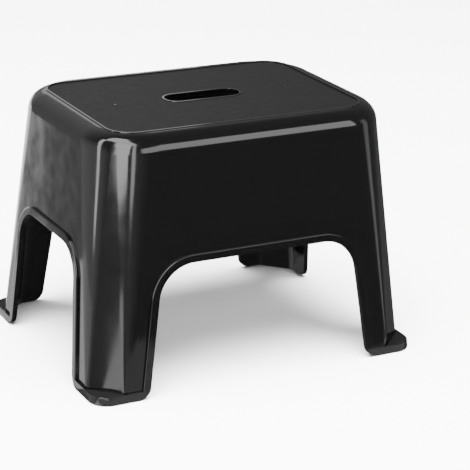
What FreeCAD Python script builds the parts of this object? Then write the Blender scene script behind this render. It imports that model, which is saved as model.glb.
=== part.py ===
import FreeCAD, Part
import math
import os

# Moulded step stool: one thin-walled polypropylene moulding that stands on four rubber feet.
# Millimetres, +Z up, X along the length, origin on the floor under the middle of the stool.

# ---- overall sizes ----
base_length = 400.0         # along X, over the rim at the floor
base_width = 323.0          # along Y, over the rim at the floor
stool_height = 286.0        # floor to the top of the bead round the deck
end_lean = 3.86             # degrees that the two end walls lean in
side_lean = 4.99            # degrees that the front and back walls lean in

# ---- the walls and their corners ----
wall = 3.0                  # thickness of the leaning walls
floor_gap = 1.0             # the moulding's lower edge stands this far above the floor
corner_cut_floor = 32.0     # each leg's corner is cut flat: leg of that cut at the floor
corner_cut_top = 40.0       # the same at the full height
corner_radius_floor = 22.0  # rounding each side of the flat, at the floor
corner_radius_top = 64.0    # the same at the full height, where the flat is nearly gone
roll_radius = 20.5          # the roll from the walls into the top

# ---- the deck and its bead ----
deck_thickness = 3.5
deck_drop = 1.5             # the standing surface lies this far below the bead
bead_inset = 22.0           # from the wall's own line at the top to the bead's outer edge
bead_width = 3.0
bead_height = 0.8           # over the flat land outside it
bead_corner_radius = 31.0   # at the bead's outer edge

# ---- hand slot ----
slot_length = 91.0
slot_width = 29.0
slot_lip_width = 3.0
slot_lip_height = 0.8
collar_wall = 2.5

# ---- stiffening ribs under the deck ----
rib_thickness = 2.5
rib_depth = 14.0            # the slot's collar is as deep
rib_y = 45.0                # two ribs along X, at plus and minus this
rib_x = (62.0, 120.0)       # two pairs of ribs along Y

# ---- gate marks left by the injection points ----
gate_x = 107.0
gate_diameter = 3.2
gate_height = 0.5

# ---- arches that leave the four legs ----
side_leg_width = 63.6       # front and back: from the rim's end to the arch, at the floor
side_arch_height = 145.0
side_arch_lean = 7.75       # degrees that the legs' inner edges lean
side_crown_radius = 41.5
end_leg_width = 69.0
end_arch_height = 152.0
end_arch_lean = 6.17
end_crown_radius = 35.5
leg_corner_radius = 14.0    # lower corner of each leg, on the arch's side

# ---- rim that borders the arches and the base ----
rim_proud = 3.0
rim_band = 9.0
base_band = 10.0            # height of the border along the base
toe_radius = 22.0           # corner of the base, seen from above

# ---- toe ledge on each corner, and the rubber foot under it ----
ledge_drop = 1.0            # the ledge lies this far below its border
ledge_border = 2.0
ledge_thickness = 2.5
toe_wall = 2.4
pocket_gap = 1.0            # between the pocket and the leg's corner face
pocket_tip_radius = 3.0
hole_diameter = 4.4
hole_from_tip = 6.2         # along the diagonal, from the toe's outer edge
foot_clearance = 0.25
stem_clearance = 0.2        # each side
stem_recess = 0.8           # the stem's end lies this far below the ledge

# ---- values worked out from those above ----
cut_shift = 2.0 - math.sqrt(2.0)                # how a 45 degree cut grows with an offset
moulding_top = stool_height - bead_height       # flat land outside the bead
deck_top = stool_height - deck_drop
cavity_top = deck_top - deck_thickness
past = 20.0                                     # cutters run this far past what they cut
ledge_top = base_band - ledge_drop
pocket_top = ledge_top - ledge_thickness


def wall_half_x(z):
    """outer face of an end wall at height z"""
    return base_length / 2 - rim_proud - math.tan(math.radians(end_lean)) * z


def wall_half_y(z):
    """outer face of the front or back wall at height z"""
    return base_width / 2 - rim_proud - math.tan(math.radians(side_lean)) * z


def share_of_height(floor_value, top_value, z):
    return floor_value + (top_value - floor_value) * z / stool_height


def rounded_wire(points, radii):
    """closed wire through the points, with each corner rounded by its own radius"""
    edges = []
    ends = []
    count = len(points)
    for i in range(count):
        corner = points[i]
        to_last = (points[i - 1] - corner).normalize()
        to_next = (points[(i + 1) % count] - corner).normalize()
        if radii[i] <= 0:
            ends.append((corner, corner, None))
            continue
        half = to_last.getAngle(to_next) / 2
        reach = radii[i] / math.tan(half)
        middle = (to_last + to_next).normalize() * (radii[i] / math.sin(half) - radii[i])
        ends.append((corner + to_last * reach, corner + to_next * reach, corner + middle))
    for i in range(count):
        start, end, middle = ends[i]
        if middle is not None:
            edges.append(Part.Arc(start, middle, end).toShape())
        following = ends[(i + 1) % count][0]
        edges.append(Part.makeLine(end, following))
    return Part.Wire(edges)


def cut_corner_outline(z, grow):
    """plan of the walls at height z: a rectangle with flattened and rounded corners"""
    x = wall_half_x(z) + grow
    y = wall_half_y(z) + grow
    cut = share_of_height(corner_cut_floor, corner_cut_top, z) + cut_shift * grow
    radius = share_of_height(corner_radius_floor, corner_radius_top, z) + grow
    corners = ((x, y - cut), (x - cut, y), (-x + cut, y), (-x, y - cut),
               (-x, -y + cut), (-x + cut, -y), (x - cut, -y), (x, -y + cut))
    return rounded_wire([FreeCAD.Vector(px, py, z) for px, py in corners], [radius] * 8)


def rectangle_wire(half_x, half_y, radius, z):
    corners = ((half_x, half_y), (-half_x, half_y), (-half_x, -half_y), (half_x, -half_y))
    return rounded_wire([FreeCAD.Vector(px, py, z) for px, py in corners], [radius] * 4)


def prism(wire, direction):
    return Part.Face(wire).extrude(direction)


def up(height):
    return FreeCAD.Vector(0, 0, height)


def walls_block(grow, low, high, roll):
    """solid inside the walls' faces, offset by grow, with its top edge rolled over"""
    block = Part.makeLoft([cut_corner_outline(low, grow), cut_corner_outline(high, grow)], True, True)
    if roll > 0:
        rim = [edge for edge in block.Edges if edge.BoundBox.ZMin > high - 0.01]
        block = block.makeFillet(roll, rim)
    return block


def base_block(low, high):
    """solid inside the base's border, from which the toes reach past the legs' flat corners"""
    wires = []
    for z in (low, high):
        wires.append(rectangle_wire(wall_half_x(z) + rim_proud, wall_half_y(z) + rim_proud, toe_radius, z))
    return Part.makeLoft(wires, True, True)


def arch_points(half, lean, height, along_y):
    """the arch's four corners: its feet on the moulding's lower edge and its crown"""
    crown_half = half - math.tan(math.radians(lean)) * height
    outline = ((-half, floor_gap), (-crown_half, height), (crown_half, height), (half, floor_gap))
    if along_y:
        return [FreeCAD.Vector(u, 0, z) for u, z in outline]
    return [FreeCAD.Vector(0, u, z) for u, z in outline]


def arch_cutter(half, lean, height, crown_radius, reach, along_y, foot_radius, grow):
    """prism through both facing walls; grow makes the wider one that bounds the rim's band"""
    points = arch_points(half + grow / math.cos(math.radians(lean)), lean, height + grow, along_y)
    side = (points[3] - points[0]).normalize() * past * 2
    drop = up(-past)
    if foot_radius > 0:
        left = [points[0] - side + drop, points[0] - side]
        right = [points[3] + side, points[3] + side + drop]
        points = left + points + right
        radii = [0, 0, foot_radius, crown_radius, crown_radius, foot_radius, 0, 0]
    else:
        lean_out = math.tan(math.radians(lean)) * past
        spread = (points[3] - points[0]).normalize() * lean_out
        points = [points[0] - spread + drop] + points[1:3] + [points[3] + spread + drop]
        radii = [0, crown_radius + grow, crown_radius + grow, 0]
    axis = FreeCAD.Vector(0, reach, 0) if along_y else FreeCAD.Vector(reach, 0, 0)
    shape = prism(rounded_wire(points, radii), axis * 2)
    shape.translate(axis * -1)
    return shape


def side_arch(grow=0.0, foot_radius=leg_corner_radius):
    half = base_length / 2 - side_leg_width
    return arch_cutter(half, side_arch_lean, side_arch_height, side_crown_radius,
                       base_width / 2 + past, True, foot_radius, grow)


def end_arch(grow=0.0, foot_radius=leg_corner_radius):
    half = base_width / 2 - end_leg_width
    return arch_cutter(half, end_arch_lean, end_arch_height, end_crown_radius,
                       base_length / 2 + past, False, foot_radius, grow)


def toe_triangle(inset, back, tip_radius, low, high):
    """prism over one toe, between its outer corner and a line along the leg's flat corner"""
    x = base_length / 2 - inset
    y = base_width / 2 - inset
    flat = wall_half_x(0) + wall_half_y(0) - corner_cut_floor + back * math.sqrt(2.0)
    leg = x + y - flat
    corner_radius = toe_radius - inset
    room = (leg - corner_radius) * math.tan(math.radians(22.5))
    tips = min(tip_radius, 0.99 * room)
    points = [FreeCAD.Vector(x, y, low), FreeCAD.Vector(x - leg, y, low), FreeCAD.Vector(x, y - leg, low)]
    return prism(rounded_wire(points, [corner_radius, tips, tips]), up(high - low))


def hole_centre():
    """on the line from the corner's centre of rounding to the toe's outermost point"""
    from_centre = (toe_radius - hole_from_tip) / math.sqrt(2.0)
    return (base_length / 2 - toe_radius + from_centre, base_width / 2 - toe_radius + from_centre)


def four_corners(shape):
    """the shape and its mirror images in the other three corners"""
    mirrored_x = shape.mirror(FreeCAD.Vector(0, 0, 0), FreeCAD.Vector(1, 0, 0))
    return {
        "back_right": shape,
        "back_left": mirrored_x,
        "front_right": shape.mirror(FreeCAD.Vector(0, 0, 0), FreeCAD.Vector(0, 1, 0)),
        "front_left": mirrored_x.mirror(FreeCAD.Vector(0, 0, 0), FreeCAD.Vector(0, 1, 0)),
    }


def stadium(length, width, low, high):
    return prism(rectangle_wire(length / 2, width / 2, width / 2 - 0.01, low), up(high - low))


def bead_ring():
    """the bead round the deck, with the deck's recess inside it"""
    x = wall_half_x(stool_height) - bead_inset
    y = wall_half_y(stool_height) - bead_inset
    low = deck_top - deck_thickness / 2
    outer = prism(rectangle_wire(x, y, bead_corner_radius, low), up(stool_height - low))
    recess = prism(rectangle_wire(x - bead_width, y - bead_width, bead_corner_radius - bead_width, deck_top),
                   up(stool_height - deck_top + past))
    return outer, recess


def deck_ribs(cavity):
    """ribs and the slot's collar, hanging from the deck's underside inside the cavity"""
    low = cavity_top - rib_depth
    height = rib_depth + deck_thickness / 2
    parts = []
    for side in (-1, 1):
        rib = Part.makeBox(base_length, rib_thickness, height,
                           FreeCAD.Vector(-base_length / 2, side * rib_y - rib_thickness / 2, low))
        parts.append(rib)
        for x in rib_x:
            parts.append(Part.makeBox(rib_thickness, base_width, height,
                                      FreeCAD.Vector(side * x - rib_thickness / 2, -base_width / 2, low)))
    inside = walls_block(-wall / 2, floor_gap - past, cavity_top + wall / 2, roll_radius - wall / 2)
    parts = [rib.common(inside) for rib in parts]
    parts.append(stadium(slot_length + 2 * collar_wall, slot_width + 2 * collar_wall, low, low + height))
    return parts


def stool_shell():
    cavity = walls_block(-wall, floor_gap - past, cavity_top, roll_radius - wall)
    outside = walls_block(0.0, floor_gap, moulding_top, roll_radius)

    # rim: a proud skin on the walls, kept only in a band round each arch
    skin = walls_block(rim_proud, floor_gap, end_arch_height + 2 * rim_band, 0.0).cut(outside)
    bands = [skin.common(side_arch(rim_band, 0.0)), skin.common(end_arch(rim_band, 0.0))]
    base = base_block(floor_gap, base_band)
    body = outside.fuse(bands + [base])

    # deck: recess, bead, slot lip and gate marks
    bead, recess = bead_ring()
    body = body.fuse(bead).cut(recess)
    lip = stadium(slot_length + 2 * slot_lip_width, slot_width + 2 * slot_lip_width,
                  deck_top - deck_thickness / 2, deck_top + slot_lip_height)
    marks = [Part.makeCylinder(gate_diameter / 2, gate_height + deck_thickness / 2,
                               FreeCAD.Vector(side * gate_x, 0, deck_top - deck_thickness / 2))
             for side in (-1, 1)]
    body = body.fuse([lip] + marks).cut(cavity).fuse(deck_ribs(cavity))

    # toes: a ledge inside its border, and a pocket below it for the foot
    over = toe_triangle(ledge_border, -wall, 0.0, ledge_top, base_band + past).cut(outside)
    pocket = toe_triangle(toe_wall, pocket_gap, pocket_tip_radius, floor_gap - past, pocket_top)
    hole_x, hole_y = hole_centre()
    hole = Part.makeCylinder(hole_diameter / 2, base_band + past, FreeCAD.Vector(hole_x, hole_y, 0))
    toes = list(four_corners(over).values()) + list(four_corners(pocket).values())
    toes += list(four_corners(hole).values())

    slot = stadium(slot_length, slot_width, cavity_top - rib_depth - past, stool_height + past)
    body = body.cut(toes + [slot, side_arch(), end_arch()])
    return body.removeSplitter()


def rubber_foot():
    """pad in the toe's pocket, with a stem up through the ledge's hole"""
    pad = toe_triangle(toe_wall + foot_clearance, pocket_gap + foot_clearance,
                       pocket_tip_radius, 0.0, pocket_top)
    hole_x, hole_y = hole_centre()
    stem = Part.makeCylinder(hole_diameter / 2 - stem_clearance, ledge_top - stem_recess - pocket_top / 2,
                             FreeCAD.Vector(hole_x, hole_y, pocket_top / 2))
    return pad.fuse(stem).removeSplitter()


def save(name, shape):
    solids = shape.Solids
    state = "valid" if shape.isValid() else "NOT VALID"
    print(name, len(solids), "solid(s)", round(shape.Volume / 1000, 2), "cm3", state)
    result = solids[0] if len(solids) == 1 else Part.makeCompound(solids)
    result.exportStep("parts/" + name + ".step")


os.makedirs("parts", exist_ok=True)
save("stool_shell", stool_shell())
for corner, foot in four_corners(rubber_foot()).items():
    save("rubber_foot_" + corner, foot)
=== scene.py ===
# %% [markdown]
# A moulded step stool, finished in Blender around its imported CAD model. Every object is in metres and in
# the CAD model's frame, so nothing is fitted by eye: the moulding is built where the CAD says it stands.

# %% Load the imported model
import math

import bmesh
import bpy
from mathutils import Matrix, Vector


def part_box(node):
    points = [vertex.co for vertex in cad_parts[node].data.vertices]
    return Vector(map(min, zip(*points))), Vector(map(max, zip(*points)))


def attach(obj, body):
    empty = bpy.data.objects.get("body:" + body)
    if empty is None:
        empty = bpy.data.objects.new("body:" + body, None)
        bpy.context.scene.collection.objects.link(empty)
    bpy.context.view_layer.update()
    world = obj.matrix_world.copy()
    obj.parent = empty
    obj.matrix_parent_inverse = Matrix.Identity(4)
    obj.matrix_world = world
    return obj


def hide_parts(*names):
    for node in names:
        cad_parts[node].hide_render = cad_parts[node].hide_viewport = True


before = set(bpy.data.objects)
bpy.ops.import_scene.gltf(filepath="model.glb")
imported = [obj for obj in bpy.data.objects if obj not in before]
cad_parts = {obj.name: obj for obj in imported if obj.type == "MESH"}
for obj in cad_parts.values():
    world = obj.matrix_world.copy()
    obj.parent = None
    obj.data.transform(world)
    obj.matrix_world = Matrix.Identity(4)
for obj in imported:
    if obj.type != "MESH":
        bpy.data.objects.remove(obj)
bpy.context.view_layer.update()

MM = 0.001

# %% [markdown]
# The stool is one injection moulding in black polypropylene. Its walls lean in, its legs' corners are
# flattened, and a proud rim borders every arch. The CAD mesh is triangulated for its shape and not for
# gloss, so the visible moulding is made again from the same sizes, with even strips round each curve. The
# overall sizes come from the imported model, and the rest repeat the mould's own dimensions. One differs:
# the rounding beside each flattened corner is 9 mm at the floor and 22 mm in the CAD model, because only a
# tight corner gives the narrow highlight that a lower leg has.

# %% Sizes of the moulding, mm
shell_low, shell_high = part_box("stool_shell")
HEIGHT = shell_high.z / MM
FLOOR_GAP = shell_low.z / MM
END_LEAN = math.tan(math.radians(3.86))
SIDE_LEAN = math.tan(math.radians(4.99))
LENGTH = 2 * (shell_high.x / MM + END_LEAN * FLOOR_GAP)
WIDTH = 2 * (shell_high.y / MM + SIDE_LEAN * FLOOR_GAP)
WALL = 3.0
RIM_PROUD = 3.0
CUT_FLOOR, CUT_TOP = 32.0, 40.0
RADIUS_FLOOR, RADIUS_TOP = 9.0, 64.0
ROLL = 20.5
DECK_TOP = HEIGHT - 1.5
CAVITY_TOP = DECK_TOP - 3.5
LAND = HEIGHT - 0.8
# how far a cutting shape reaches past the moulding
PAST = 20.0
print("length, width, height, mm:", round(LENGTH, 2), round(WIDTH, 2), round(HEIGHT, 2))

# %% [markdown]
# Every shape here starts as a few corners, joined by edges. A vertex bevel rounds each corner to a true
# arc of its own radius. Placing every point of the arcs by hand would give the same outline, and would
# take far longer to change.

# %% Outlines
def half_x(z):
    return LENGTH / 2 - RIM_PROUD - END_LEAN * z


def half_y(z):
    return WIDTH / 2 - RIM_PROUD - SIDE_LEAN * z


def add_outline(bm, corners, radii, segments):
    """adds a closed loop through the corners, each rounded to its radius, and returns its edges"""
    before = set(bm.edges)
    verts = [bm.verts.new(corner) for corner in corners]
    for i, vert in enumerate(verts):
        bm.edges.new((vert, verts[(i + 1) % len(verts)]))
    for i, vert in enumerate(verts):
        if radii[i] > 0:
            here = Vector(corners[i])
            angle = (Vector(corners[i - 1]) - here).angle(Vector(corners[(i + 1) % len(corners)]) - here)
            bmesh.ops.bevel(bm, geom=[vert], offset=radii[i] / math.tan(angle / 2), offset_type="OFFSET",
                            affect="VERTICES", segments=segments, profile=0.5, material=-1,
                            clamp_overlap=False)
    return [edge for edge in bm.edges if edge not in before]


def link_mesh(name, bm):
    mesh = bpy.data.meshes.new(name)
    bm.to_mesh(mesh)
    bm.free()
    piece = bpy.data.objects.new(name, mesh)
    bpy.context.scene.collection.objects.link(piece)
    return piece


def as_object(name, bm):
    """finishes a bmesh made in millimetres as an object in metres"""
    bmesh.ops.recalc_face_normals(bm, faces=bm.faces)
    bmesh.ops.scale(bm, vec=(MM, MM, MM), verts=bm.verts)
    return link_mesh(name, bm)


print("walls at the floor, mm:", round(2 * half_x(0), 1), "x", round(2 * half_y(0), 1))

# %% [markdown]
# The stool's walls run straight from a lower outline to an upper one, so a block is two outlines and a
# bridge. Its walls come out flat where the real ones are flat. The soft roll from the walls into the top
# is a bevel of the upper outline. The hollow is the same block, drawn in by the wall's thickness.

# %% Blocks
WALL_STEPS, ROLL_STEPS = 12, 18


def block(name, low, high, segments, roll=0.0):
    """a closed block between two outlines; each is (corners, radii), and roll rounds the top edge over"""
    bm = bmesh.new()
    loops = [add_outline(bm, corners, radii, segments) for corners, radii in (low, high)]
    bmesh.ops.bridge_loops(bm, edges=loops[0] + loops[1])
    for loop in loops:
        bmesh.ops.contextual_create(bm, geom=loop)
    if roll > 0:
        top = max(vert.co.z for vert in bm.verts)
        rim = [edge for edge in bm.edges if min(vert.co.z for vert in edge.verts) > top - 0.001]
        bmesh.ops.bevel(bm, geom=rim, offset=roll, offset_type="OFFSET", affect="EDGES",
                        segments=ROLL_STEPS, profile=0.5, material=-1, clamp_overlap=False)
    return as_object(name, bm)


def cut_corners(z, grow):
    """the walls' outline at height z: a rectangle with flattened, rounded corners"""
    x, y = half_x(z) + grow, half_y(z) + grow
    cut = CUT_FLOOR + (CUT_TOP - CUT_FLOOR) * z / HEIGHT + (2 - math.sqrt(2)) * grow
    radius = RADIUS_FLOOR + (RADIUS_TOP - RADIUS_FLOOR) * z / HEIGHT + grow
    corners = [(x, y - cut, z), (x - cut, y, z), (cut - x, y, z), (-x, y - cut, z),
               (-x, cut - y, z), (cut - x, -y, z), (x - cut, -y, z), (x, cut - y, z)]
    return corners, [max(radius, 1.0)] * 8


def walls_block(name, grow, low, high, roll=0.0):
    # the walls lean about 4.4 degrees, so a roll of radius r starts r * tan(42.8 degrees) from the edge
    from_edge = roll * math.tan(math.radians(42.8))
    return block(name, cut_corners(low, grow), cut_corners(high, grow), WALL_STEPS, from_edge)


outside = walls_block("outside", 0.0, -PAST, LAND, ROLL)
cavity = walls_block("cavity", -WALL, -PAST * 2, CAVITY_TOP, ROLL - WALL)
print("outside and cavity, faces:", len(outside.data.polygons), len(cavity.data.polygons))

# %% [markdown]
# The arches, rims and toes are where blocks meet, so they are made as the mould is cut: join what stands
# proud, then take away what the tool takes away. Boolean modifiers with the exact solver do that, and each
# result is read back as a plain mesh, so that the next step starts from real faces.

# %% Joining and cutting
def combine(target, operation, *tools):
    """applies one boolean after another to the target, and removes the tools"""
    for tool in tools:
        step = target.modifiers.new(operation.lower(), "BOOLEAN")
        step.operation = operation
        step.solver = "EXACT"
        step.object = tool
        shown = target.evaluated_get(bpy.context.evaluated_depsgraph_get())
        mesh = bpy.data.meshes.new_from_object(shown)
        target.modifiers.clear()
        old = target.data
        target.data = mesh
        bpy.data.meshes.remove(old)
        bpy.data.objects.remove(tool)
    return target


def prism(name, corners, radii, direction, segments=14):
    """a closed outline pushed along a direction"""
    bm = bmesh.new()
    loop = add_outline(bm, corners, radii, segments)
    face = bmesh.ops.contextual_create(bm, geom=loop)["faces"]
    made = bmesh.ops.extrude_face_region(bm, geom=face, use_keep_orig=True)
    moved = [item for item in made["geom"] if isinstance(item, bmesh.types.BMVert)]
    bmesh.ops.translate(bm, vec=direction, verts=moved)
    return as_object(name, bm)


print("tools reach past the moulding by, mm:", PAST)

# %% [markdown]
# Two pairs of arches leave the four legs. Each arch is one outline pushed right through the stool, so the
# facing walls match. The same outline, made wider, gives the band in which the rim stands proud.

# %% Arch outlines
LEG_CORNER = 14.0
RIM_BAND = 9.0
ARCH_STEPS = 16
# for each pair: half its width at the floor, its sides' lean in degrees, its height and its crown's radius
SIDE_ARCH = (LENGTH / 2 - 63.6, 7.75, 145.0, 41.5)
END_ARCH = (WIDTH / 2 - 69.0, 6.17, 152.0, 35.5)


def push_through(name, points, radii, along_y):
    """an outline of (across, height) points, pushed right through the stool"""
    far = LENGTH / 2 + PAST
    if along_y:
        return prism(name, [(u, -far, z) for u, z in points], radii, (0, 2 * far, 0), ARCH_STEPS)
    return prism(name, [(-far, u, z) for u, z in points], radii, (2 * far, 0, 0), ARCH_STEPS)


def arch_opening(name, half, lean, height, crown, along_y):
    """the tool that cuts an arch through two facing walls and rounds the legs' lower corners"""
    lean = math.tan(math.radians(lean))
    far = LENGTH / 2 + PAST
    points = [(-far, -2 * PAST), (-far, FLOOR_GAP), (-half, FLOOR_GAP), (-(half - lean * height), height),
              (half - lean * height, height), (half, FLOOR_GAP), (far, FLOOR_GAP), (far, -2 * PAST)]
    return push_through(name, points, [0, 0, LEG_CORNER, crown, crown, LEG_CORNER, 0, 0], along_y)


def arch_band(name, half, lean, height, crown, along_y):
    """the arch's outline made wider by the rim's band"""
    lean = math.tan(math.radians(lean))
    half += RIM_BAND * math.hypot(1, lean)
    height += RIM_BAND
    low_half = half + lean * PAST
    points = [(-low_half, -PAST), (-(half - lean * height), height), (half - lean * height, height),
              (low_half, -PAST)]
    return push_through(name, points, [0, crown + RIM_BAND, crown + RIM_BAND, 0], along_y)


print("arches at the floor, mm:", round(2 * SIDE_ARCH[0], 1), "and", round(2 * END_ARCH[0], 1))

# %% [markdown]
# A moulder adds a proud rim round an opening to stiffen its edge. Here it is the walls' block, grown by
# the rim's depth and kept only inside the band. Its outer edges are rounded before it joins the walls,
# because that is where a glossy rim draws its line of light.

# %% Rims
RIM_ROUNDING = 1.3


def rim(name, depth, band):
    """the proud skin inside a band; depth sets how far past the floor it starts, so no two faces coincide"""
    skin = walls_block(name, RIM_PROUD, -PAST * depth, END_ARCH[2] + 2 * RIM_BAND + depth)
    combine(skin, "INTERSECT", band)
    bm = bmesh.new()
    bm.from_mesh(skin.data)
    bmesh.ops.scale(bm, vec=(1000, 1000, 1000), verts=bm.verts)
    bmesh.ops.remove_doubles(bm, verts=bm.verts, dist=0.01)
    edges = [edge for edge in bm.edges if edge.is_manifold and edge.calc_face_angle() > math.radians(60)
             and max(vert.co.z for vert in edge.verts) > -PAST + 5]
    bmesh.ops.bevel(bm, geom=edges, offset=RIM_ROUNDING, offset_type="OFFSET", affect="EDGES", segments=6,
                    profile=0.5, material=-1, clamp_overlap=False)
    bmesh.ops.recalc_face_normals(bm, faces=bm.faces)
    bmesh.ops.scale(bm, vec=(MM, MM, MM), verts=bm.verts)
    bm.to_mesh(skin.data)
    bm.free()
    return skin


side_rim = rim("side_rim", 1.2, arch_band("side_band", *SIDE_ARCH, True))
end_rim = rim("end_rim", 1.4, arch_band("end_band", *END_ARCH, False))
print("rims, faces:", len(side_rim.data.polygons), len(end_rim.data.polygons))

# %% [markdown]
# A toe fills each corner that the leg's flattened corner leaves free. It is part of a low base block, and
# its top is sunk 1 mm inside a 2 mm border, so that water and dirt stay off the floor.

# %% Base and toe ledges
BASE_BAND = 10.0
TOE_RADIUS = 22.0
LEDGE_BORDER, LEDGE_TOP = 2.0, 9.0


def rectangle(x, y, radius, z):
    return [(x, y, z), (-x, y, z), (-x, -y, z), (x, -y, z)], [radius] * 4


def toe_corners(sx, sy, inset, back, z):
    """the outer corner of a toe and the two points where it ends, in the corner that sx and sy name"""
    x, y = LENGTH / 2 - inset, WIDTH / 2 - inset
    leg = x + y - (half_x(0) + half_y(0) - CUT_FLOOR + back * math.sqrt(2))
    return [(sx * x, sy * y, z), (sx * (x - leg), sy * y, z), (sx * x, sy * (y - leg), z)]


low_x, low_y = half_x(-PAST) + RIM_PROUD, half_y(-PAST) + RIM_PROUD
top_x, top_y = half_x(BASE_BAND) + RIM_PROUD, half_y(BASE_BAND) + RIM_PROUD
base = block("base", rectangle(low_x, low_y, TOE_RADIUS, -PAST * 0.9),
             rectangle(top_x, top_y, TOE_RADIUS, BASE_BAND), 14)
CORNERS = [(sx, sy) for sx in (-1, 1) for sy in (-1, 1)]
for sx, sy in CORNERS:
    ledge = prism("ledge", toe_corners(sx, sy, LEDGE_BORDER, -WALL, LEDGE_TOP),
                  [TOE_RADIUS - LEDGE_BORDER, 0, 0], (0, 0, PAST))
    combine(base, "DIFFERENCE", ledge)
moulding = combine(outside, "UNION", side_rim, end_rim, base)
moulding.name = "moulding"
print("walls with rims and toes, faces:", len(moulding.data.polygons))

# %% [markdown]
# On the deck a thin bead runs round a shallow recess, where feet stand. The hand slot has its own thin
# lip, and two small discs mark where the molten plastic entered the mould. They are 0.4 mm wider and 0.3
# mm higher than in the CAD model, so that they catch some light. Each shape starts at its own depth inside
# the deck, because the solver can't be trusted where two faces lie in one plane.

# %% Deck
def rectangle_prism(name, x, y, radius, low, high, segments=16):
    return prism(name, *rectangle(x, y, radius, low), (0, 0, high - low), segments)


def stadium(name, length, width, low, high):
    return rectangle_prism(name, length / 2, width / 2, width / 2 - 0.01, low, high, 18)


def disc(name, radius, x, y, low, high):
    bm = bmesh.new()
    bmesh.ops.create_cone(bm, cap_ends=True, segments=32, radius1=radius, radius2=radius, depth=high - low)
    bmesh.ops.translate(bm, vec=(x, y, (low + high) / 2), verts=bm.verts)
    return as_object(name, bm)


SLOT_LENGTH, SLOT_WIDTH = 91.0, 29.0
SLOT_LIP, LOW_RELIEF = 3.0, 0.8
BEAD_INSET, BEAD_WIDTH, BEAD_RADIUS = 22.0, 3.0, 31.0
GATE_RADIUS, GATE_FROM_MIDDLE = 1.8, 107.0
bead_x, bead_y = half_x(HEIGHT) - BEAD_INSET, half_y(HEIGHT) - BEAD_INSET
inner_x, inner_y = bead_x - BEAD_WIDTH, bead_y - BEAD_WIDTH
bead = rectangle_prism("bead", bead_x, bead_y, BEAD_RADIUS, DECK_TOP - 2.2, HEIGHT)
recess = rectangle_prism("recess", inner_x, inner_y, BEAD_RADIUS - BEAD_WIDTH, DECK_TOP, HEIGHT + PAST)
lip_length, lip_width = SLOT_LENGTH + 2 * SLOT_LIP, SLOT_WIDTH + 2 * SLOT_LIP
lip = stadium("lip", lip_length, lip_width, DECK_TOP - 1.8, DECK_TOP + LOW_RELIEF)
gates = [disc("gate", GATE_RADIUS, side * GATE_FROM_MIDDLE, 0, DECK_TOP - 1.4, DECK_TOP + LOW_RELIEF)
         for side in (-1, 1)]
combine(moulding, "UNION", bead)
combine(moulding, "DIFFERENCE", recess)
combine(moulding, "UNION", lip, *gates)
print("deck recess, mm:", round(2 * inner_x, 1), "x", round(2 * inner_y, 1))

# %% [markdown]
# Inside, the walls are 3 mm thick. A grid of ribs hangs from the deck to carry a standing person, and a
# collar lines the slot, so fingers meet a smooth wall and not the edge of a thin plate.

# %% Hollow, ribs and collar
RIB_THICKNESS, RIB_DROP = 2.5, 14.0
LONG_RIB_Y = 45.0
CROSS_RIBS_X = (-120.0, -62.0, 62.0, 120.0)
COLLAR_WALL = 2.5
rib_low = CAVITY_TOP - RIB_DROP
rib_high = CAVITY_TOP + 1.6


def plank(name, x, y, half_length, half_depth):
    """a plain bar at (x, y), from the ribs' lower edge to a little inside the deck"""
    bm = bmesh.new()
    bmesh.ops.create_cube(bm, size=2.0)
    bmesh.ops.scale(bm, vec=(half_length, half_depth, (rib_high - rib_low) / 2), verts=bm.verts)
    bmesh.ops.translate(bm, vec=(x, y, (rib_high + rib_low) / 2), verts=bm.verts)
    return as_object(name, bm)


combine(moulding, "DIFFERENCE", cavity)
ribs = plank("ribs", 0, LONG_RIB_Y, LENGTH / 2, RIB_THICKNESS / 2)
combine(ribs, "UNION", plank("rib", 0, -LONG_RIB_Y, LENGTH / 2, RIB_THICKNESS / 2))
for rib_x in CROSS_RIBS_X:
    combine(ribs, "UNION", plank("rib", rib_x, 0, RIB_THICKNESS / 2, WIDTH / 2))
inside = walls_block("inside", -WALL / 2, -PAST * 3, CAVITY_TOP + WALL / 2, ROLL - WALL / 2)
combine(ribs, "INTERSECT", inside)
collar = stadium("collar", SLOT_LENGTH + 2 * COLLAR_WALL, SLOT_WIDTH + 2 * COLLAR_WALL, rib_low,
                 CAVITY_TOP + 1.2)
combine(moulding, "UNION", ribs, collar)
slot = stadium("slot", SLOT_LENGTH, SLOT_WIDTH, rib_low - PAST, HEIGHT + PAST)
combine(moulding, "DIFFERENCE", slot)
print("hollow and ribbed, faces:", len(moulding.data.polygons))

# %% [markdown]
# Under each toe a pocket takes the rubber foot, and a hole up to the ledge takes its stem. The arches are
# cut last, through rim, wall and base alike, so all their edges line up.

# %% Pockets, holes and arches
POCKET_WALL, POCKET_TOP, POCKET_TIPS = 2.4, 6.5, 3.0
HOLE_RADIUS, HOLE_FROM_EDGE = 2.2, 6.2
# the hole stands on the line from the toe's own centre to its rounded corner
from_centre = (TOE_RADIUS - HOLE_FROM_EDGE) / math.sqrt(2)
hole_x = LENGTH / 2 - TOE_RADIUS + from_centre
hole_y = WIDTH / 2 - TOE_RADIUS + from_centre
for sx, sy in CORNERS:
    pocket = prism("pocket", toe_corners(sx, sy, POCKET_WALL, 1.0, -PAST),
                   [TOE_RADIUS - POCKET_WALL, POCKET_TIPS, POCKET_TIPS], (0, 0, PAST + POCKET_TOP), 10)
    hole = disc("hole", HOLE_RADIUS, sx * hole_x, sy * hole_y, -PAST, BASE_BAND + PAST)
    combine(moulding, "DIFFERENCE", pocket, hole)
combine(moulding, "DIFFERENCE", arch_opening("side_arch", *SIDE_ARCH, True))
combine(moulding, "DIFFERENCE", arch_opening("end_arch", *END_ARCH, False))
print("with its arches, faces:", len(moulding.data.polygons))

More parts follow.
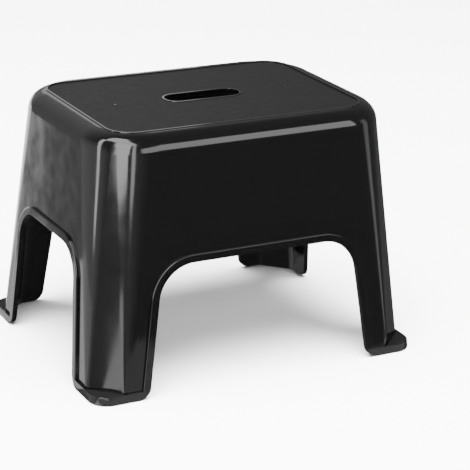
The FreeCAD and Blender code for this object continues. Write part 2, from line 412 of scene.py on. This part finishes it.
# %% [markdown]
# No moulded edge is knife sharp: the tool's corners are eased so that the plastic fills them and hands
# don't catch. Every outward edge gets a small bevel, which also draws the thin bright lines on a glossy
# part. The ribs' lower edges are left crisp, as they are in the hidden half of a mould.

# %% Eased edges
EASE = 0.45


def is_outward_edge(edge):
    on_ribs = all(abs(vert.co.z - rib_low) < 0.1 for vert in edge.verts)
    return edge.is_manifold and edge.is_convex and edge.calc_face_angle() > math.radians(24) and not on_ribs


bm = bmesh.new()
bm.from_mesh(moulding.data)
bmesh.ops.scale(bm, vec=(1000, 1000, 1000), verts=bm.verts)
bmesh.ops.remove_doubles(bm, verts=bm.verts, dist=0.02)
bmesh.ops.dissolve_degenerate(bm, edges=bm.edges, dist=0.02)
sharp = [edge for edge in bm.edges if is_outward_edge(edge)]
bmesh.ops.bevel(bm, geom=sharp, offset=EASE, offset_type="OFFSET", affect="EDGES", segments=2, profile=0.5,
                material=-1, clamp_overlap=False, loop_slide=True)
bmesh.ops.remove_doubles(bm, verts=bm.verts, dist=0.01)
# where a bevel runs out beside the base, it can leave a slit of up to 0.2 mm
bmesh.ops.holes_fill(bm, edges=[edge for edge in bm.edges if edge.is_boundary], sides=0)
bmesh.ops.recalc_face_normals(bm, faces=bm.faces)
still_open = sum(1 for edge in bm.edges if not edge.is_manifold)
bmesh.ops.scale(bm, vec=(MM, MM, MM), verts=bm.verts)
for edge in bm.edges:
    edge.smooth = edge.is_manifold and edge.calc_face_angle() < math.radians(40)
for face in bm.faces:
    face.smooth = True
bm.to_mesh(moulding.data)
bm.free()
print("sharp edges eased:", len(sharp), "faces now:", len(moulding.data.polygons), "open edges:", still_open)

# %% [markdown]
# Flat walls beside curved corners shade badly with plain smooth normals. The crisp inner edges are marked
# sharp, and weighting each corner's normal by face area keeps the flats flat, so the gloss mirrors
# cleanly.

# %% Normals and frame
weighted = moulding.modifiers.new("weighted", "WEIGHTED_NORMAL")
weighted.mode = "FACE_AREA"
weighted.weight = 50
weighted.keep_sharp = True
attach(moulding, "root")
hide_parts("stool_shell")
print("moulding rides on root")

# %% [markdown]
# Materials come next. One function turns a colour as people write it into the linear values that Cycles
# works in, and another adds a node with its settings.

# %% Colour and node helpers
def to_linear(hex_code):
    values = [int(hex_code[i:i + 2], 16) / 255 for i in (1, 3, 5)]
    return [v / 12.92 if v <= 0.04045 else ((v + 0.055) / 1.055) ** 2.4 for v in values] + [1.0]


def add_node(tree, kind, links=(), **settings):
    """adds a node; a setting named like a socket sets that input, any other an attribute, and each link is
    (output socket, name or number of the input it feeds)"""
    node = tree.nodes.new(kind)
    for key, value in settings.items():
        if key in node.inputs:
            node.inputs[key].default_value = value
        else:
            setattr(node, key, value)
    for source, target in links:
        tree.links.new(source, node.inputs[target])
    return node


def new_material(name):
    made = bpy.data.materials.new(name)
    made.use_nodes = True
    made.node_tree.nodes.clear()
    return made, made.node_tree


print("black as linear:", [round(v, 4) for v in to_linear("#030303")])

# %% [markdown]
# Polypropylene from a polished mould is glossy but never optically flat. Thick and thin places shrink by
# different amounts, so reflections bend a little over some 70 mm, and the skin has a fine haze that comes
# and goes over about 15 mm. Two noises in Object coordinates give both. Object coordinates are in metres,
# so a noise whose patches are to be so many millimetres wide has a scale of one over that width in metres.

# %% Glossy moulded polypropylene
SHRINKAGE_MM, HAZE_MM = 70.0, 15.0
gloss, tree = new_material("polypropylene, polished mould face")
place = add_node(tree, "ShaderNodeTexCoord")
shrink = add_node(tree, "ShaderNodeTexNoise", [(place.outputs["Object"], "Vector")],
                  Scale=1 / (SHRINKAGE_MM * MM), Detail=1.0, Roughness=0.5)
haze = add_node(tree, "ShaderNodeTexNoise", [(place.outputs["Object"], "Vector")],
                Scale=1 / (HAZE_MM * MM), Detail=3.0, Roughness=0.5)
sheen = add_node(tree, "ShaderNodeMapRange", [(haze.outputs["Fac"], "Value")],
                 **{"From Min": 0.3, "From Max": 0.7, "To Min": 0.07, "To Max": 0.12})
ripple = add_node(tree, "ShaderNodeBump", [(shrink.outputs["Fac"], "Height")],
                  Strength=0.28, Distance=0.0012)
plastic = add_node(tree, "ShaderNodeBsdfPrincipled",
                   [(sheen.outputs["Result"], "Roughness"), (ripple.outputs["Normal"], "Normal")],
                   **{"Base Color": to_linear("#030303"), "IOR": 1.49})
add_node(tree, "ShaderNodeOutputMaterial", [(plastic.outputs["BSDF"], "Surface")])
moulding.data.materials.clear()
moulding.data.materials.append(gloss)
print("finish:", gloss.name)

# %% [markdown]
# The recessed deck is spark-eroded in the mould, which leaves a fine matt grain for grip. Such a grain is
# perhaps 0.3 mm across, too fine to show at this distance, so it is drawn at 1.2 mm and shallow, over a
# faint mottle. The grain traps light, so its highlight is weaker than a smooth plastic's.

# %% Matt textured deck
GRAIN_MM, MOTTLE_MM = 1.2, 9.0
matt, tree = new_material("polypropylene, spark-eroded grain")
place = add_node(tree, "ShaderNodeTexCoord")
grain = add_node(tree, "ShaderNodeTexNoise", [(place.outputs["Object"], "Vector")],
                 Scale=1 / (GRAIN_MM * MM), Detail=2.0, Roughness=0.5)
mottle = add_node(tree, "ShaderNodeTexNoise", [(place.outputs["Object"], "Vector")],
                  Scale=1 / (MOTTLE_MM * MM), Detail=4.0, Roughness=0.5)
tone = add_node(tree, "ShaderNodeMapRange", [(mottle.outputs["Fac"], "Value")],
                **{"From Min": 0.3, "From Max": 0.7, "To Min": 0.47, "To Max": 0.52})
teeth = add_node(tree, "ShaderNodeBump", [(grain.outputs["Fac"], "Height")], Strength=0.35, Distance=0.0003)
plastic = add_node(tree, "ShaderNodeBsdfPrincipled",
                   [(tone.outputs["Result"], "Roughness"), (teeth.outputs["Normal"], "Normal")],
                   **{"Base Color": to_linear("#080808"), "IOR": 1.49, "Specular IOR Level": 0.11})
add_node(tree, "ShaderNodeOutputMaterial", [(plastic.outputs["BSDF"], "Surface")])
moulding.data.materials.append(matt)
print("finish:", matt.name)

# %% [markdown]
# The same grain is on the deck and on the four toe ledges. A face takes it if it looks straight up and
# lies at one of those two heights, and the deck's is kept inside the bead.

# %% Where the grain lies
SAME_LEVEL = 0.05
grained = 0
for face in moulding.data.polygons:
    middle = face.center / MM
    on_deck = abs(middle.z - DECK_TOP) < SAME_LEVEL and abs(middle.x) < inner_x
    on_ledge = abs(middle.z - LEDGE_TOP) < SAME_LEVEL
    if face.normal.z > 0.99 and (on_deck or on_ledge):
        face.material_index = 1
        grained += 1
print("deck and ledge faces with grain:", grained)

# %% [markdown]
# The feet are pressed from a soft black rubber. It has a higher index than the plastic, but a dusty, matt
# skin with a 2 mm mottle. The CAD model's feet have their true shape already, so they only take the
# finish.

# %% Rubber feet
DUST_MM = 2.0
rubber, tree = new_material("rubber, pressed and unpolished")
place = add_node(tree, "ShaderNodeTexCoord")
skin = add_node(tree, "ShaderNodeTexNoise", [(place.outputs["Object"], "Vector")],
                Scale=1 / (DUST_MM * MM), Detail=3.0, Roughness=0.5)
dust = add_node(tree, "ShaderNodeMapRange", [(skin.outputs["Fac"], "Value")],
                **{"To Min": 0.6, "To Max": 0.85})
pores = add_node(tree, "ShaderNodeBump", [(skin.outputs["Fac"], "Height")], Strength=0.3, Distance=0.0003)
pressed = add_node(tree, "ShaderNodeBsdfPrincipled",
                   [(dust.outputs["Result"], "Roughness"), (pores.outputs["Normal"], "Normal")],
                   **{"Base Color": to_linear("#0e0e0e"), "IOR": 1.52})
add_node(tree, "ShaderNodeOutputMaterial", [(pressed.outputs["BSDF"], "Surface")])
for name in ("back_right", "back_left", "front_right", "front_left"):
    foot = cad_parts["rubber_foot_" + name]
    foot.data.materials.clear()
    foot.data.materials.append(rubber)
print("finish:", rubber.name)

# %% [markdown]
# The floor is plain white paper. It is hidden from reflections, because what a glossy black part mirrors
# has to be set apart from how bright the paper is: a studio does that with black and white boards.

# %% Floor
def plane(name, x0, x1, y0, y1, z):
    bm = bmesh.new()
    bmesh.ops.create_grid(bm, x_segments=1, y_segments=1, size=0.5)
    bmesh.ops.scale(bm, vec=(x1 - x0, y1 - y0, 1), verts=bm.verts)
    bmesh.ops.translate(bm, vec=((x0 + x1) / 2, (y0 + y1) / 2, z), verts=bm.verts)
    return link_mesh(name, bm)


floor = plane("floor", -9, 9, -9, 9, 0)
floor.visible_glossy = False
paper, tree = new_material("paper, matt white")
fibres = add_node(tree, "ShaderNodeBsdfPrincipled", **{"Base Color": to_linear("#f8f8f8"), "Roughness": 0.9})
add_node(tree, "ShaderNodeOutputMaterial", [(fibres.outputs["BSDF"], "Surface")])
floor.data.materials.append(paper)
print("floor is", paper.name)

# %% [markdown]
# The camera stands in front of the stool's left end, a little above it, about two metres away. Its axes
# are set from two angles and a small turn, and the long lens keeps the upright lines nearly parallel.

# %% Camera
AZIMUTH, ELEVATION, TURN = math.radians(-27.564), math.radians(19.636), math.radians(1.308)
LOOKED_AT, DISTANCE = Vector((0.031548, -0.028141, 0.120995)), 2.16095
back = Vector((math.sin(AZIMUTH) * math.cos(ELEVATION), -math.cos(AZIMUTH) * math.cos(ELEVATION),
               math.sin(ELEVATION)))
right = (-back).cross(Vector((0, 0, 1))).normalized()
up = right.cross(-back).normalized()
turned_right = math.cos(TURN) * right + math.sin(TURN) * up
turned_up = -math.sin(TURN) * right + math.cos(TURN) * up
lens = bpy.data.cameras.new("camera")
lens.lens = 143.114
lens.sensor_width = 36.0
lens.sensor_fit = "HORIZONTAL"
lens.clip_start, lens.clip_end = 0.05, 60.0
camera = bpy.data.objects.new("camera", lens)
pose = Matrix((turned_right, turned_up, back)).transposed().to_4x4()
pose.translation = LOOKED_AT + back * DISTANCE
camera.matrix_world = pose
bpy.context.scene.collection.objects.link(camera)
bpy.context.scene.camera = camera
print("camera at, m:", [round(v, 3) for v in camera.matrix_world.translation])

# %% [markdown]
# Three large lamps light the paper and shape the soft shadow. They too are hidden from reflections.

# %% Lamps
def towards(azimuth, elevation):
    """azimuth 0 points straight out of the stool's front, and a positive one turns towards its right end"""
    a, e = math.radians(azimuth), math.radians(elevation)
    return Vector((math.sin(a) * math.cos(e), -math.cos(a) * math.cos(e), math.sin(e)))


def lamp(name, azimuth, elevation, distance, size, radiance):
    light = bpy.data.lights.new(name, "AREA")
    light.shape = "SQUARE"
    light.size = size
    light.energy = radiance * math.pi * size * size
    held = bpy.data.objects.new(name, light)
    held.location = Vector((0, 0, 0.2)) + towards(azimuth, elevation) * distance
    held.rotation_euler = (-towards(azimuth, elevation)).to_track_quat("-Z", "Y").to_euler()
    held.visible_glossy = False
    bpy.context.scene.collection.objects.link(held)


lamp("key", azimuth=-35, elevation=75, distance=5.0, size=5.2, radiance=46.0)
lamp("left", azimuth=-60, elevation=40, distance=3.2, size=3.0, radiance=3.0)
lamp("right", azimuth=70, elevation=40, distance=3.2, size=3.0, radiance=2.0)

# %% [markdown]
# A black glossy thing is drawn by what it mirrors, so it gets its own boards, which only reflections see.
# Each one is a flat outline that glows evenly. It is given by the angles of its corners as seen from the
# part that mirrors it, because that is what decides where its reflection lies.

# %% Boards that only reflections see
NEAR_CORNER = Vector((-0.155, -0.125, 0.23))


def only_mirrored(board, radiance):
    glow, tree = new_material(board.name)
    light = add_node(tree, "ShaderNodeEmission", Strength=radiance)
    add_node(tree, "ShaderNodeOutputMaterial", [(light.outputs["Emission"], "Surface")])
    board.data.materials.append(glow)
    board.visible_camera = False
    board.visible_diffuse = False
    board.visible_shadow = False


def diffuser(name, corners, distance, radiance, seen_from=NEAR_CORNER, rounding=0.0):
    """a flat board with its corners at the given (azimuth, elevation) angles"""
    rays = [towards(*corner) for corner in corners]
    middle = sum(rays, Vector()).normalized()
    points = [seen_from + ray * (distance / ray.dot(middle)) for ray in rays]
    bm = bmesh.new()
    loop = add_outline(bm, points, [rounding] * len(points), 6)
    bmesh.ops.contextual_create(bm, geom=loop)
    only_mirrored(link_mesh(name, bm), radiance)


def floor_board(name, points, radiance, z=-0.001):
    """a flat board just under the floor, with its corners at the given (x, y) places"""
    bm = bmesh.new()
    bmesh.ops.contextual_create(bm, geom=[bm.verts.new((x, y, z)) for x, y in points])
    only_mirrored(link_mesh(name, bm), radiance)


print("boards are seen from, m:", list(NEAR_CORNER))

# %% [markdown]
# Tall boards draw the bright strips on the flattened corner that faces the camera. The widest one reaches
# up over the roll, and the two narrow ones draw thinner lines beside it.

# %% Strips on the near corner
diffuser("tall strip", [(-65, -4.5), (-60, -4.8), (-48, -3.6), (-38, -2.2), (-35.5, 10), (-35.5, 64),
                        (-90, 63), (-83, 56), (-75, 46), (-69, 35), (-66, 20)], distance=2.0, radiance=10.5)
diffuser("edge strip", [(-31, -4), (-25, -4), (-25, 62), (-31, 62)], distance=2.0, radiance=7.0)
diffuser("thin strip", [(-101, -9), (-101, 5), (-106, 25), (-118, 42), (-128, 52), (-120, 55), (-110, 44),
                        (-102, 32), (-95.5, 14), (-95, -9)], distance=2.0, radiance=9.0)
print("three strips set")

# %% [markdown]
# Two level boards draw the lines along the rolls between the walls and the deck. The other three light one
# thing each: the right end's edge, the far side of the left end wall, and the slot's lip.

# %% Lines along the rolls and edges
diffuser("overhead left", [(-150, 68), (-131, 59), (-119, 53), (-104, 61), (-88, 61), (-66, 60), (-24, 57),
                           (-24, 64), (-48, 76), (-80, 82), (-150, 81)],
         distance=2.0, radiance=9.0, rounding=0.05)
diffuser("right bank", [(-16, 13), (60, 13), (60, 39), (-16, 39)], distance=2.2, radiance=4.8, rounding=0.12)
diffuser("right side", [(71, -18), (82, -18), (82, 25), (71, 25)], distance=2.0, radiance=1.25,
         seen_from=Vector((0.15, -0.13, 0.2)))
diffuser("white wall", [(-157.5, -26), (-157.5, 0), (-190, 0), (-190, -26)], distance=3.0, radiance=3.3,
         seen_from=Vector((-0.18, 0.05, 0.2)))
diffuser("lip line", [(151, 11), (168, 11), (168, 19), (151, 19)], distance=3.0, radiance=1.2,
         seen_from=Vector((-0.15, 0, 0.285)))
print("five level and edge boards set")

# %% [markdown]
# The lower walls look down at the floor, which is hidden from them, so boards just under it stand in for
# the paper. They are bright by the left end and the near corner, and leave the front almost black.

# %% Pale floor as the walls see it
floor_board("pale floor, left", [(-0.80, -0.10), (-0.205, -0.10), (-0.205, 0.33), (-0.80, 0.33)],
            radiance=1.9)
floor_board("pale floor, front", [(-0.32, -0.53), (-0.13, -0.46), (-0.03, -0.40), (0.02, -0.165),
                                  (-0.19, -0.165)], radiance=0.85)
floor_board("pale floor, corner", [(-0.20, -0.145), (-0.97, -0.53), (-1.02, -0.80), (-0.98, -1.02),
                                   (-0.18, -0.19)], radiance=4.0)
floor_board("paper by the front feet",
            [(-0.238, -0.198), (0.238, -0.198), (0.238, -0.163), (-0.238, -0.163)], radiance=1.3, z=-0.0005)
print("four floor boards set")

# %% [markdown]
# The rest of the room is dim, so the front stays deep black. Three soft glows stand in it: behind the left
# end, where the end wall and its roll look, low on the left, where the corner turns, and low towards the
# front left. Each comes from the dot product with its own direction, eased from its edge to its middle.

# %% Room
DIM = 0.17
# for each glow: the azimuth and elevation of its middle, its spread in degrees and its brightness
GLOWS = ((-172, 28, 42, 0.36), (-112, -10, 50, 0.95), (-38, -12, 38, 0.4))
world = bpy.data.worlds.new("studio")
world.use_nodes = True
bpy.context.scene.world = world
tree = world.node_tree
tree.nodes.clear()
place = add_node(tree, "ShaderNodeTexCoord")
brightness = None
for azimuth, elevation, spread, strength in GLOWS:
    facing = add_node(tree, "ShaderNodeVectorMath", [(place.outputs["Generated"], 0)],
                      operation="DOT_PRODUCT")
    facing.inputs[1].default_value = towards(azimuth, elevation)
    glow = add_node(tree, "ShaderNodeMapRange", [(facing.outputs["Value"], "Value")],
                    interpolation_type="SMOOTHSTEP",
                    **{"From Min": math.cos(math.radians(spread)), "From Max": 1.0, "To Max": strength})
    joined = add_node(tree, "ShaderNodeMath", [(glow.outputs["Result"], 0)], operation="ADD")
    if brightness:
        tree.links.new(brightness, joined.inputs[1])
    else:
        joined.inputs[1].default_value = DIM
    brightness = joined.outputs["Value"]
room = add_node(tree, "ShaderNodeBackground", [(brightness, "Strength")], Color=to_linear("#ffffff"))
add_node(tree, "ShaderNodeOutputWorld", [(room.outputs["Background"], "Surface")])
print("glows in the room:", len(GLOWS))
